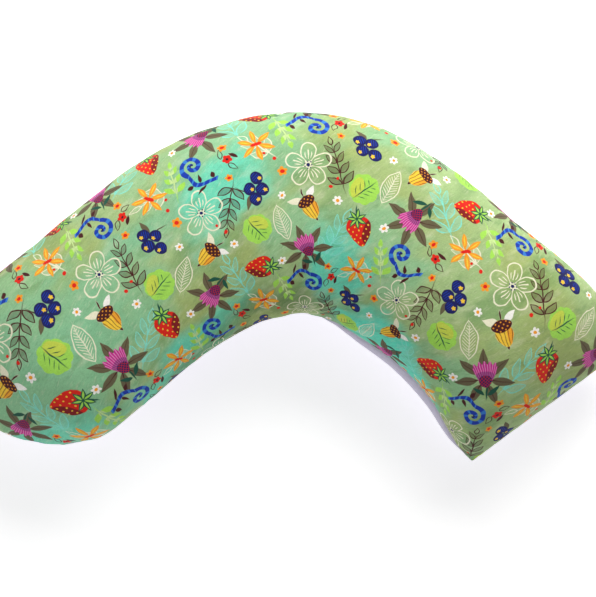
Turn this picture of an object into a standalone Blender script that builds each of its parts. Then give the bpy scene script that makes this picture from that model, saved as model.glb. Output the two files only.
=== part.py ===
"""A V shaped pillow: one filled cloth solid that lies on its back, face up.

The bend of the V points to +Y and the arms come towards -Y. The origin is the middle of the
underside's bounding box, on the surface that the pillow lies on. Lengths are in metres.
"""

import math

import bmesh
import bpy
import numpy as np
from mathutils import Vector

# Driving dimensions.
LOFT = 0.166            # thickness of the filled pillow, where it is fullest
SEAM_HEIGHT = 0.076     # height of the side seam over the surface, along the arms
END_DROOP = 0.016       # how far the seam sinks at the ends of the arms
BACK_DEPTH = 0.088      # how far the back panel would bulge below the seam on nothing
FLOOR_ROUNDING = 0.005  # how softly the underside turns up from the surface
END_CLOSING = 0.125     # length of arm over which the crown falls to the end seam
MIDDLE_STEPS = 58       # steps along the V between the two closing ends
END_STEPS = 11          # steps along the V in each closing end
ACROSS_STEPS = 20       # steps across a panel
FOLD_FADE = 0.020       # height over the seam by which a fold has its whole depth
FOLD_FAR_SHARE = 0.3    # a fold's depth at its far end, as a share of its depth at the near end
LEAN_SHARE = 0.45       # a panel that leans out by a share reaches past its seam by this times its square
MERGE_DISTANCE = 0.00002
MM = 0.001
CLOTH_COLOUR = (0.24, 0.46, 0.20, 1.0)
CLOTH_ROUGHNESS = 0.85

# The seam line, as sections across the V from the left arm's end to the right arm's, in millimetres.
# outer_roll and inner_roll say how far a panel rolls out past the seam there: the back where it is
# more than nothing, and the front where it is less. bow pushes the middle of the section along the
# arm, away from the bend, and fill is the share of the full crown.
COLUMNS = ("outer_x", "outer_y", "inner_x", "inner_y", "outer_roll", "inner_roll", "bow", "fill")
SECTIONS = (
    (-421, -60, -260, -183, -2, 0, 36, 0.92),
    (-388, -32, -235, -178, -3, 0, 22, 0.95),
    (-348, -4, -208, -167, -3, 1, 18, 0.98),
    (-300, 31, -168, -135, -4, 2, 14, 1.00),
    (-231, 88, -113, -89, -4, 2, 10, 1.00),
    (-164, 139, -71, -60, -4, 1, 6, 1.00),
    (-83, 177, -30, -40, -4, 0, 2, 0.99),
    (5, 191, 11, -31, -4, -1, 0, 0.98),
    (93, 177, 46, -41, -4, 0, 2, 0.99),
    (180, 126, 79, -60, -4, 3, 4, 1.00),
    (250, 69, 124, -92, -4, 5, 4, 1.00),
    (310, 21, 160, -131, -3, 5, 2, 0.98),
    (356, -18, 186, -176, -3, 3, 1, 0.95),
    (404, -60, 209, -202, -2, 0, 0, 0.90),
)

# Soft troughs in the front panel, in millimetres: from a point to a point as seen from above.
FOLD_COLUMNS = ("from_x", "from_y", "to_x", "to_y", "width", "depth")
FOLDS = (
    (190, -166, 222, -172, 10, 5),     # across the pinched corner of the right arm
    (236, -160, 262, -120, 14, 4),     # up from that arm's end seam
    (300, -112, 296, -66, 16, 3),      # up from that arm's end seam, further out
    (12, -26, 4, 24, 18, 4),           # into the bend
    (-32, -30, -54, 6, 16, 3),         # into the bend, left of it
    (52, -34, 78, 0, 16, 3),           # into the bend, right of it
    (-262, -164, -250, -122, 16, 4),   # up from the left arm's end
    (-330, -134, -298, -96, 17, 3),    # up from the left arm's end, further out
    (-386, -62, -350, -60, 15, 4),     # in from the left arm's outer corner
    (372, -54, 334, -52, 14, 4),       # in from the right arm's outer corner
)


def row_values(row, columns):
    """A table's row as a dictionary of its columns."""
    return dict(zip(columns, row))


def between(rows, place):
    """A Catmull-Rom curve through the rows of a table. Place runs from 0 to the last row's number."""
    count = len(rows)
    first = min(int(place), count - 2)
    share = place - first
    before = rows[first - 1] if first else 2 * rows[0] - rows[1]
    start = rows[first]
    end = rows[first + 1]
    after = rows[first + 2] if first + 2 < count else 2 * rows[-1] - rows[-2]
    return start + 0.5 * share * (
        (end - before)
        + share * (
            (2 * before - 5 * start + 4 * end - after)
            + share * (3 * (start - end) + after - before)
        )
    )


def stations():
    """Where the grid's lines cross the V: place in the table, share of the full crown, share of the droop."""
    rows = np.array(SECTIONS, float)
    middle = (rows[:, 0:2] + rows[:, 2:4]) / 2 * MM
    run = np.concatenate([[0], np.cumsum(np.linalg.norm(np.diff(middle, axis=0), axis=1))])
    length = run[-1]
    closing = [END_CLOSING * (1 - math.cos(math.pi / 2 * i / END_STEPS)) for i in range(END_STEPS + 1)]
    even = np.linspace(END_CLOSING, length - END_CLOSING, MIDDLE_STEPS + 1)[1:-1]
    along = [*closing, *even, *[length - d for d in reversed(closing)]]
    places = np.interp(along, run, range(len(rows)))
    lines = []
    for distance, place in zip(along, places):
        from_end = min(distance, length - distance, END_CLOSING) / END_CLOSING
        droop = (1 - from_end) ** 2
        lines.append((place, math.sqrt(max(0.0, 1 - droop)), droop))
    return rows, lines


def lean(roll, half_width):
    """How far a panel leans out over its seam, so that it reaches the roll past it."""
    return math.sqrt(max(0.0, roll * MM) / half_width / LEAN_SHARE)


def section(rows, line, turn, front):
    """A point on a panel: line says where along the V, and turn goes from 0, inner seam, to pi, outer."""
    place, closing, droop = line
    at = row_values(between(rows, place), COLUMNS)
    inner = Vector((at["inner_x"], at["inner_y"], 0)) * MM
    outer = Vector((at["outer_x"], at["outer_y"], 0)) * MM
    half = (outer - inner) / 2
    centre = (outer + inner) / 2
    side = -math.cos(turn)
    rise = math.sin(turn)
    sign = -1 if front else 1
    lean_out = lean(sign * (at["inner_roll"] if side < 0 else at["outer_roll"]), half.length)
    across = side * (1 + lean_out * rise * closing)
    end_side = -1 if place < (len(rows) - 1) / 2 else 1
    along = Vector((-half.y, half.x, 0)).normalized() * -end_side
    point = centre + half * across + along * at["bow"] * MM * (1 - side * side)
    crown = at["fill"] * closing * rise
    seam = SEAM_HEIGHT - END_DROOP * droop
    point.z = seam + crown * ((LOFT - SEAM_HEIGHT) if front else -BACK_DEPTH)
    return point


def panel(name, front):
    """One panel, from the seam over its crown to the seam, as a grid laid on its sections."""
    rows, lines = stations()
    grid = bmesh.new()
    bmesh.ops.create_grid(grid, x_segments=len(lines) - 1, y_segments=ACROSS_STEPS, size=0.5)
    for vertex in grid.verts:
        line = lines[round((vertex.co.x + 0.5) * (len(lines) - 1))]
        turn = math.pi * (vertex.co.y + 0.5)
        vertex.co = section(rows, line, turn, front)
    if not front:
        bmesh.ops.reverse_faces(grid, faces=grid.faces)
    mesh = bpy.data.meshes.new(name)
    grid.to_mesh(mesh)
    grid.free()
    return mesh


def fold_depth(point):
    """How deep the folds' troughs are at a point of the front panel. They fade out towards the seam."""
    fade = min(1.0, max(0.0, (point.z - SEAM_HEIGHT) / FOLD_FADE))
    deepest = 0.0
    for row in FOLDS:
        fold = row_values(row, FOLD_COLUMNS)
        start = Vector((fold["from_x"], fold["from_y"])) * MM
        reach = Vector((fold["to_x"], fold["to_y"])) * MM - start
        share = min(1.0, max(0.0, (point.xy - start).dot(reach) / reach.length_squared))
        off = (point.xy - start - reach * share).length / (fold["width"] * MM)
        depth = fold["depth"] * MM * (1 - (1 - FOLD_FAR_SHARE) * share)
        deepest = max(deepest, depth * math.exp(-off * off))
    return deepest * fade


def on_floor(height):
    """The height where the surface below stops the cloth, with a soft turn up from it."""
    if height > FLOOR_ROUNDING:
        return height
    if height < -FLOOR_ROUNDING:
        return 0.0
    return (height + FLOOR_ROUNDING) ** 2 / (4 * FLOOR_ROUNDING)


def sew():
    """The two panels merged along their seam, creased, and laid on the surface."""
    pillow = bmesh.new()
    for name, front in (("front_panel", True), ("back_panel", False)):
        mesh = panel(name, front)
        pillow.from_mesh(mesh)
        bpy.data.meshes.remove(mesh)
    bmesh.ops.remove_doubles(pillow, verts=pillow.verts, dist=MERGE_DISTANCE)
    pillow.normal_update()
    inward = {vertex: vertex.normal * -fold_depth(vertex.co) for vertex in pillow.verts}
    for vertex, move in inward.items():
        vertex.co += move
        vertex.co.z = on_floor(vertex.co.z)
    return pillow


def centre_on_origin(shape):
    """Puts the middle of the shape's bounding box over the origin."""
    points = np.array([vertex.co[:] for vertex in shape.verts])
    low = points.min(axis=0)
    high = points.max(axis=0)
    shift = Vector((-(low[0] + high[0]) / 2, -(low[1] + high[1]) / 2, -low[2]))
    bmesh.ops.translate(shape, verts=shape.verts, vec=shift)


def cloth():
    """The plain green cloth of the filled cover."""
    material = bpy.data.materials.new("pillow_cloth")
    material.use_nodes = True
    shader = material.node_tree.nodes["Principled BSDF"]
    shader.inputs["Base Color"].default_value = CLOTH_COLOUR
    shader.inputs["Roughness"].default_value = CLOTH_ROUGHNESS
    shader.inputs["Metallic"].default_value = 0.0
    return material


def make_pillow(collection):
    """The filled pillow as one named object."""
    shape = sew()
    centre_on_origin(shape)
    mesh = bpy.data.meshes.new("pillow")
    shape.to_mesh(mesh)
    shape.free()
    mesh.materials.append(cloth())
    mesh.shade_smooth()
    pillow = bpy.data.objects.new("pillow", mesh)
    collection.objects.link(pillow)
    return pillow


def main():
    """Empties the scene and builds the pillow in its own collection."""
    for thing in list(bpy.data.objects):
        bpy.data.objects.remove(thing)
    collection = bpy.data.collections.new("v_shaped_pillow")
    bpy.context.scene.collection.children.link(collection)
    make_pillow(collection)


main()
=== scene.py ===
"""The looks of a V shaped pillow: a printed front panel and a plain back panel, sewn and filled.

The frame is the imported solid. The pillow here is lofted on the same seam line, puffed up by a short
cloth simulation, pressed flat underneath and drawn in along its seam. The garden print is drawn by
shader groups, one for each motif, in millimetres on the cloth's own UV map.
"""

import math

import bmesh
import bpy
import numpy as np
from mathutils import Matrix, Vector


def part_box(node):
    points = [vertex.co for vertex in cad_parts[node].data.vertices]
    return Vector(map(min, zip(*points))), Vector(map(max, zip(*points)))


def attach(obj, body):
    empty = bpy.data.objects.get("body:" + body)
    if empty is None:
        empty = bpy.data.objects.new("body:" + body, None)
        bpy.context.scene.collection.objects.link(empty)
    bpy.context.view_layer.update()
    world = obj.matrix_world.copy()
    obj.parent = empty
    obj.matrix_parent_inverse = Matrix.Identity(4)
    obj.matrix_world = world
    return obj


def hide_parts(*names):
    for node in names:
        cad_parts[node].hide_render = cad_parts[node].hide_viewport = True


bl_info = {
    "name": "V Shaped Pillow",
    "version": (1, 0, 0),
    "blender": (4, 5, 0),
    "location": "3D View > Sidebar > Pillow",
    "description": "Sews, fills and prints a V shaped pillow round its packed solid",
    "category": "Add Mesh",
}

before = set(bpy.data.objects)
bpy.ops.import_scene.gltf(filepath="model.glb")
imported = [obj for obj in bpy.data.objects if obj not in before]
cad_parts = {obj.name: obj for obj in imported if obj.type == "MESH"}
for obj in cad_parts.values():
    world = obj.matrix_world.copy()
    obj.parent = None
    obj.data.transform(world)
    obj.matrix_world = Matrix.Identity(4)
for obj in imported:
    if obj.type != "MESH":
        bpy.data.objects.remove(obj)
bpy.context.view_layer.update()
LOW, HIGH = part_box("pillow")

MM = 0.001
UV_NAME = "cloth"
# the seam's nearness, which sets the painted shade beside the seam
SEAM_MASK = "seam_near"

# The seam line, as sections across the V from the left arm's end to the right arm's, in millimetres,
# as the solid has it. outer_roll and inner_roll say how far a panel rolls out past the seam there:
# the back where it is more than nothing, and the front where it is less. They allow for the cloth
# that the filling draws in. bow pushes the middle of the section along the arm, away from the bend,
# and fill is the share of the full crown.
COLUMNS = ("outer_x", "outer_y", "inner_x", "inner_y", "outer_roll", "inner_roll", "bow", "fill")
SECTIONS = (
    (-421, -60, -260, -183, -3, 0, 36, 0.92),
    (-388, -32, -235, -178, -4, 0, 22, 0.95),
    (-348, -4, -208, -167, -5, -1, 18, 0.98),
    (-300, 31, -168, -135, -6, -2, 14, 1.00),
    (-231, 88, -113, -89, -6, -2, 10, 1.00),
    (-164, 139, -71, -60, -5, -2, 6, 1.00),
    (-83, 177, -30, -40, -5, -2, 2, 0.99),
    (5, 191, 11, -31, -6, -3, 0, 0.98),
    (93, 177, 46, -41, -6, 1, 2, 0.99),
    (180, 126, 79, -60, -7, 5, 4, 1.00),
    (250, 69, 124, -92, -6, 7, 4, 1.00),
    (310, 21, 160, -131, -5, 7, 2, 0.98),
    (356, -18, 186, -176, -4, 4, 1, 0.95),
    (404, -60, 209, -202, -2, 0, 0, 0.90),
)
END_CLOSING = 0.125      # length of arm over which the crown falls to the end seam
END_DROOP = 0.016        # how far the seam sinks at the ends of the arms
BACK_DEPTH = 0.088       # how far the back panel would bulge below the seam on nothing
FLOOR_ROUNDING = 0.005   # how softly the underside turns up from the surface
LEAN_SHARE = 0.45        # a panel leaning out by a share reaches this times its square past its seam
MERGE_DISTANCE = 0.00002

# Creases in the front panel, in millimetres: soft troughs from a point to a point seen from above.
CREASE_COLUMNS = ("from_x", "from_y", "to_x", "to_y", "width", "depth")
CREASES = (
    (190, -166, 222, -172, 8, 5),      # across the pinched corner of the right arm
    (236, -160, 262, -120, 12, 4),     # up from that arm's end seam
    (300, -112, 296, -66, 14, 3),      # up from that arm's end seam, further out
    (12, -26, 4, 24, 16, 4),           # into the bend
    (-32, -30, -54, 6, 14, 3),         # into the bend, left of it
    (52, -34, 78, 0, 14, 3),           # into the bend, right of it
    (-262, -164, -250, -122, 14, 4),   # up from the left arm's end
    (-330, -134, -298, -96, 15, 3),    # up from the left arm's end, further out
    (-386, -62, -350, -60, 13, 4),     # in from the left arm's outer corner
    (372, -54, 334, -52, 12, 4),       # in from the right arm's outer corner
)
CREASE_FADE = 0.020      # height over the seam by which a crease has its whole depth
CREASE_FAR_SHARE = 0.3   # a crease's depth at its far end, as a share of its depth at the near end

BACK_OFFSET = 1.0        # how far the back panel's flat shape lies from the front's on the UV map
CROWN_FACING = 0.85      # cloth that faces up or down by at least this share counts as crown
SLACK_REACH = 0.055      # how far from the seam the cloth has slack
FILL_FRAMES = 20         # frames that the filling takes
SINK_SHARE = 0.35        # share of the cloth's moves inwards that is kept
BACK_SHARE = 0.3         # share of its moves that the back panel keeps, as it lies pressed flat
SEAM_SHADE_REACH = 0.010 # how far the seam's nearness, and with it the painted shade beside the seam, fades over the cloth
GATHER_REACH = 0.007     # how far from the seam its gathers are deepest
GATHER_SWING = 1.8       # how unevenly the gathers follow each other, in radians
GATHER_DRIFT = 0.031     # how quickly that unevenness changes along the seam


def linear(red, green, blue):
    """A colour for a shader, from its red, green and blue on a screen, out of 255."""
    shares = [value / 255 for value in (red, green, blue)]
    return [s / 12.92 if s <= 0.04045 else ((s + 0.055) / 1.055) ** 2.4 for s in shares]


def ink(name, description, red, green, blue):
    """A colour that a user can change."""
    return bpy.props.FloatVectorProperty(
        name=name,
        description=description,
        default=linear(red, green, blue),
        min=0.0,
        max=1.0,
        subtype="COLOR",
    )


class PillowShape(bpy.types.PropertyGroup):
    """How the pillow is cut, filled and sewn."""

    loft: bpy.props.FloatProperty(
        name="Loft",
        description="Thickness of the filled pillow, where it is fullest",
        default=HIGH.z - LOW.z - 0.0002,
        unit="LENGTH",
    )
    seam_height: bpy.props.FloatProperty(
        name="Seam height",
        description="Height of the side seam over the surface, along the arms",
        default=0.076,
        unit="LENGTH",
    )
    along_steps: bpy.props.IntProperty(
        name="Steps along",
        description="Rows of cloth along the V, between its closing ends",
        default=116,
    )
    end_steps: bpy.props.IntProperty(
        name="Steps in an end",
        description="Rows of cloth in each closing end",
        default=22,
    )
    across_steps: bpy.props.IntProperty(
        name="Steps across",
        description="Rows of cloth from seam to seam of a panel",
        default=52,
    )
    slack: bpy.props.FloatProperty(
        name="Slack",
        description="Share by which the cloth is longer than the filling needs near the seam",
        default=0.035,
        subtype="FACTOR",
    )
    give: bpy.props.FloatProperty(
        name="Give",
        description="Share by which all the cloth stretches under the filling",
        default=0.02,
        subtype="FACTOR",
    )
    pressure: bpy.props.FloatProperty(
        name="Pressure",
        description="Pressure of the filling against the cloth",
        default=4.0,
    )
    most_move: bpy.props.FloatProperty(
        name="Most move",
        description="How far the simulation may move a point of the cloth",
        default=0.003,
        unit="LENGTH",
    )
    groove_depth: bpy.props.FloatProperty(
        name="Seam groove",
        description="How deep the seam's thread pulls the cloth in",
        default=0.0022,
        unit="LENGTH",
    )
    groove_width: bpy.props.FloatProperty(
        name="Seam width",
        description="Width of the cloth beside the seam's thread that turns in",
        default=0.0024,
        unit="LENGTH",
    )
    pucker_pitch: bpy.props.FloatProperty(
        name="Pucker pitch",
        description="Length of seam from one gather of the cloth to the next",
        default=0.021,
        unit="LENGTH",
    )
    pucker_depth: bpy.props.FloatProperty(
        name="Pucker depth",
        description="How far the gathers beside the seam sink",
        default=0.0005,
        unit="LENGTH",
    )


class PrintInks(bpy.types.PropertyGroup):
    """The colours of the garden print and of the plain back."""

    sage: ink("Sage", "Main colour of the painted ground", 166, 194, 132)
    mint: ink("Mint", "Cooler patches of the ground", 134, 196, 152)
    turquoise: ink("Turquoise", "Brightest cool patches of the ground", 96, 226, 196)
    olive: ink("Olive", "Warm patches of the ground", 164, 180, 104)
    # moss also paints the painted shade along the left arm's inner and lower edges, in the ground's patches
    moss: ink("Moss", "Dark patches of the ground", 104, 146, 86)
    red: ink("Red", "Berries and small flowers", 226, 34, 18)
    maroon: ink("Maroon", "Seeds and shadows in the red", 66, 16, 26)
    navy: ink("Navy", "Blueberries and thistle cups", 24, 28, 92)
    blue: ink("Blue", "Tendrils", 18, 58, 172)
    sky: ink("Sky", "Bands on the tendrils", 62, 140, 222)
    magenta: ink("Magenta", "Thistle heads", 204, 50, 144)
    pink: ink("Pink", "Lines on the thistle heads", 238, 168, 214)
    yellow: ink("Yellow", "Acorns and flower middles", 250, 204, 62)
    orange: ink("Orange", "Lilies and stars", 245, 158, 42)
    brown: ink("Brown", "Bands, buds and drawn leaves", 74, 24, 26)
    bark: ink("Bark", "Broad leaves behind the thistles", 104, 96, 70)
    cream: ink("Cream", "Drawn blossoms and leaves", 242, 238, 208)
    lime: ink("Lime", "Sprigs and round leaves", 164, 222, 88)
    # pine also paints the painted shade in the bend, in the ground's patches
    pine: ink("Pine", "Veins and calyxes", 26, 84, 66)
    frond: ink("Frond", "Drawn fronds", 134, 224, 204)
    white: ink("White", "Daisies", 250, 248, 240)
    back: ink("Back", "Plain cloth of the back panel", 216, 210, 230)


class StageLook(bpy.types.PropertyGroup):
    """The floor, the lamps and the camera."""

    floor_colour: bpy.props.FloatVectorProperty(
        name="Floor",
        description="Colour of the pale floor",
        default=(0.92, 0.92, 0.92),
        subtype="COLOR",
    )
    floor_glow: bpy.props.FloatProperty(
        name="Floor glow",
        description="Light that comes through the floor, as on a light table",
        default=0.48,
    )
    camera_height: bpy.props.FloatProperty(
        name="Camera height",
        description="Height of the camera over the floor",
        default=2.0,
        unit="LENGTH",
    )
    picture_width: bpy.props.FloatProperty(
        name="Picture width",
        description="Width that the picture takes in at the seam's height",
        default=0.6812,
        unit="LENGTH",
    )
    picture_x: bpy.props.FloatProperty(
        name="Picture middle X",
        description="Where the middle of the picture falls, along the V",
        default=0.0176,
        unit="LENGTH",
    )
    picture_y: bpy.props.FloatProperty(
        name="Picture middle Y",
        description="Where the middle of the picture falls, across the V",
        default=-0.0118,
        unit="LENGTH",
    )
    key_power: bpy.props.FloatProperty(
        name="Key lamp",
        description="Power of the large lamp beyond the bend",
        default=38.0,
        unit="POWER",
    )
    fill_power: bpy.props.FloatProperty(
        name="Fill lamp",
        description="Power of the lamp on the near side",
        default=5.5,
        unit="POWER",
    )
    sky_strength: bpy.props.FloatProperty(
        name="Room light",
        description="Strength of the even light from all sides",
        default=0.31,
    )


def row_values(row, columns):
    """A table's row as a dictionary of its columns."""
    return dict(zip(columns, row))


def smooth(share):
    """A share from 0 to 1 with a soft start and end."""
    share = min(1.0, max(0.0, share))
    return share * share * (3 - 2 * share)


def between(rows, place):
    """A Catmull-Rom curve through the rows of a table. Place runs from 0 to the last row's number."""
    count = len(rows)
    first = min(int(place), count - 2)
    share = place - first
    before = rows[first - 1] if first else 2 * rows[0] - rows[1]
    start = rows[first]
    end = rows[first + 1]
    after = rows[first + 2] if first + 2 < count else 2 * rows[-1] - rows[-2]
    return start + 0.5 * share * (
        (end - before)
        + share * (
            (2 * before - 5 * start + 4 * end - after)
            + share * (3 * (start - end) + after - before)
        )
    )


def stations(shape):
    """Where the rows of cloth cross the V: place in the table, share of the full crown, share of the droop."""
    rows = np.array(SECTIONS, float)
    middle = (rows[:, 0:2] + rows[:, 2:4]) / 2 * MM
    run = np.concatenate([[0], np.cumsum(np.linalg.norm(np.diff(middle, axis=0), axis=1))])
    length = run[-1]
    turns = [math.pi / 2 * i / shape.end_steps for i in range(shape.end_steps + 1)]
    closing = [END_CLOSING * (1 - math.cos(turn)) for turn in turns]
    even = np.linspace(END_CLOSING, length - END_CLOSING, shape.along_steps + 1)[1:-1]
    along = [*closing, *even, *[length - d for d in reversed(closing)]]
    places = np.interp(along, run, range(len(rows)))
    lines = []
    for distance, place in zip(along, places):
        from_end = min(distance, length - distance, END_CLOSING) / END_CLOSING
        droop = (1 - from_end) ** 2
        lines.append((place, math.sqrt(max(0.0, 1 - droop)), droop))
    return rows, lines


def lean(roll, half_width):
    """How far a panel leans out over its seam, so that it reaches the roll past it."""
    return math.sqrt(max(0.0, roll * MM) / half_width / LEAN_SHARE)


def section(shape, rows, line, turn, front):
    """A point on a panel: turn goes from 0 at the inner seam, over the crown, to pi at the outer seam."""
    place, closing, droop = line
    at = row_values(between(rows, place), COLUMNS)
    inner = Vector((at["inner_x"], at["inner_y"], 0)) * MM
    outer = Vector((at["outer_x"], at["outer_y"], 0)) * MM
    half = (outer - inner) / 2
    centre = (outer + inner) / 2
    side = -math.cos(turn)
    rise = math.sin(turn)
    sign = -1 if front else 1
    lean_out = lean(sign * (at["inner_roll"] if side < 0 else at["outer_roll"]), half.length)
    across = side * (1 + lean_out * rise * closing)
    end_side = -1 if place < (len(rows) - 1) / 2 else 1
    along = Vector((-half.y, half.x, 0)).normalized() * -end_side
    point = centre + half * across + along * at["bow"] * MM * (1 - side * side)
    crown = at["fill"] * closing * rise
    seam = shape.seam_height - END_DROOP * droop
    point.z = seam + crown * ((shape.loft - shape.seam_height) if front else -BACK_DEPTH)
    return point


def panel(shape, name, front):
    """One panel, from the seam over its crown to the seam, as a grid laid on its sections."""
    rows, lines = stations(shape)
    last = len(lines) - 1
    grid = bmesh.new()
    bmesh.ops.create_grid(grid, x_segments=last, y_segments=shape.across_steps, size=0.5)
    for vertex in grid.verts:
        line = lines[round((vertex.co.x + 0.5) * last)]
        turn = math.pi * (vertex.co.y + 0.5)
        vertex.co = section(shape, rows, line, turn, front)
    if not front:
        bmesh.ops.reverse_faces(grid, faces=grid.faces)
    for face in grid.faces:
        face.material_index = 0 if front else 1
        face.smooth = True
    mesh = bpy.data.meshes.new(name)
    grid.to_mesh(mesh)
    grid.free()
    return mesh


def crease_depth(shape, point):
    """How deep the creases are at a point of the front panel. They fade out towards the seam."""
    fade = min(1.0, max(0.0, (point.z - shape.seam_height) / CREASE_FADE))
    if not fade:
        return 0.0
    deepest = 0.0
    for row in CREASES:
        crease = row_values(row, CREASE_COLUMNS)
        start = Vector((crease["from_x"], crease["from_y"])) * MM
        reach = Vector((crease["to_x"], crease["to_y"])) * MM - start
        share = min(1.0, max(0.0, (point.xy - start).dot(reach) / reach.length_squared))
        off = (point.xy - start - reach * share).length / (crease["width"] * MM)
        depth = crease["depth"] * MM * (1 - (1 - CREASE_FAR_SHARE) * share)
        deepest = max(deepest, depth * math.exp(-off * off))
    return deepest * fade


def on_floor(height):
    """The height where the surface below stops the cloth, with a soft turn up from it."""
    if height > FLOOR_ROUNDING:
        return height
    if height < -FLOOR_ROUNDING:
        return 0.0
    return (height + FLOOR_ROUNDING) ** 2 / (4 * FLOOR_ROUNDING)


def seam_edges(pillow):
    """The edges where the two panels meet."""
    return [edge for edge in pillow.edges if len({face.material_index for face in edge.link_faces}) == 2]


def tuck_seam(pillow, shape):
    """Turns a narrow strip of both panels in towards the seam's thread."""
    bmesh.ops.bevel(
        pillow,
        geom=seam_edges(pillow),
        offset=shape.groove_width,
        offset_type="OFFSET",
        segments=2,
        profile=0.5,
        affect="EDGES",
        material=-1,
    )
    pillow.normal_update()
    for vertex in {vertex for edge in seam_edges(pillow) for vertex in edge.verts}:
        vertex.co -= vertex.normal * shape.groove_depth


def sew(shape):
    """The two panels joined along their seam, creased, laid on the surface and set in the frame."""
    pillow = bmesh.new()
    for name, front in (("front_panel", True), ("back_panel", False)):
        mesh = panel(shape, name, front)
        pillow.from_mesh(mesh)
        bpy.data.meshes.remove(mesh)
    bmesh.ops.remove_doubles(pillow, verts=pillow.verts, dist=MERGE_DISTANCE)
    pillow.normal_update()
    inward = {vertex: vertex.normal * -crease_depth(shape, vertex.co) for vertex in pillow.verts}
    for vertex, move in inward.items():
        vertex.co += move
        vertex.co.z = on_floor(vertex.co.z)
    tuck_seam(pillow, shape)
    points = np.array([vertex.co[:] for vertex in pillow.verts])
    middle = (points.min(axis=0) + points.max(axis=0)) / 2
    target = (LOW + HIGH) / 2
    shift = Vector((target.x - middle[0], target.y - middle[1], 0))
    bmesh.ops.translate(pillow, verts=pillow.verts, vec=shift)
    for edge in seam_edges(pillow):
        edge.seam = True
    mesh = bpy.data.meshes.new("pillow_cover")
    pillow.to_mesh(mesh)
    pillow.free()
    cover = bpy.data.objects.new("pillow_cover", mesh)
    bpy.context.scene.collection.objects.link(cover)
    return cover


def walk_seam(cover):
    """The seam's points in order round the pillow, and how far along it each lies."""
    work = bmesh.new()
    work.from_mesh(cover.data)
    left = set(seam_edges(work))
    edge = min(left, key=lambda edge: edge.index)
    first, vertex = edge.verts
    points = [first.co.copy()]
    while vertex != first:
        points.append(vertex.co.copy())
        left.discard(edge)
        edge = next(edge for edge in vertex.link_edges if edge in left)
        vertex = edge.other_vert(vertex)
    work.free()
    line = np.array(points)
    steps = np.linalg.norm(np.diff(line, axis=0), axis=1)
    return line, np.concatenate([[0], np.cumsum(steps)])


def seam_places(cover):
    """For each vertex of the cover: how far it lies from the seam, and how far along the seam that is."""
    line, run = walk_seam(cover)
    away = []
    along = []
    for vertex in cover.data.vertices:
        reach = np.linalg.norm(line - np.array(vertex.co), axis=1)
        nearest = reach.argmin()
        away.append(reach[nearest])
        along.append(run[nearest])
    return np.array(away), np.array(along)


def spread_flat(cover):
    """Gives the cover its UV map: each panel laid out flat, in metres, turned as it is seen from above."""
    bpy.context.view_layer.objects.active = cover
    cover.select_set(True)
    cover.data.uv_layers.new(name=UV_NAME)
    bpy.ops.object.mode_set(mode="EDIT")
    bpy.ops.mesh.select_all(action="SELECT")
    bpy.ops.uv.unwrap(method="ANGLE_BASED", margin=0.01)
    bpy.ops.object.mode_set(mode="OBJECT")
    mesh = cover.data
    mesh.update()
    flat = np.zeros(len(mesh.loops) * 2)
    mesh.uv_layers[UV_NAME].data.foreach_get("uv", flat)
    flat = flat.reshape(-1, 2)
    corners = np.array([loop.vertex_index for loop in mesh.loops])
    points = np.array([vertex.co[:] for vertex in mesh.vertices])[corners]
    facing = np.array([vertex.normal.z for vertex in mesh.vertices])[corners]
    slots = np.repeat([face.material_index for face in mesh.polygons], [len(face.vertices) for face in mesh.polygons])
    for slot in (0, 1):
        mine = slots == slot
        crown = mine & (np.abs(facing) > CROWN_FACING)
        flat[mine] = align(flat[crown], points[crown][:, :2], flat[mine])
    flat[slots == 1, 1] -= BACK_OFFSET
    mesh.uv_layers[UV_NAME].data.foreach_set("uv", flat.ravel())


def align(source, target, points):
    """Points moved, turned and scaled as carries the source points onto the target points best."""
    source_middle = source.mean(axis=0)
    target_middle = target.mean(axis=0)
    spread = (source - source_middle).T @ (target - target_middle)
    left, strength, right = np.linalg.svd(spread)
    scale = strength.sum() / ((source - source_middle) ** 2).sum()
    return (points - source_middle) @ (left @ right) * scale + target_middle


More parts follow.
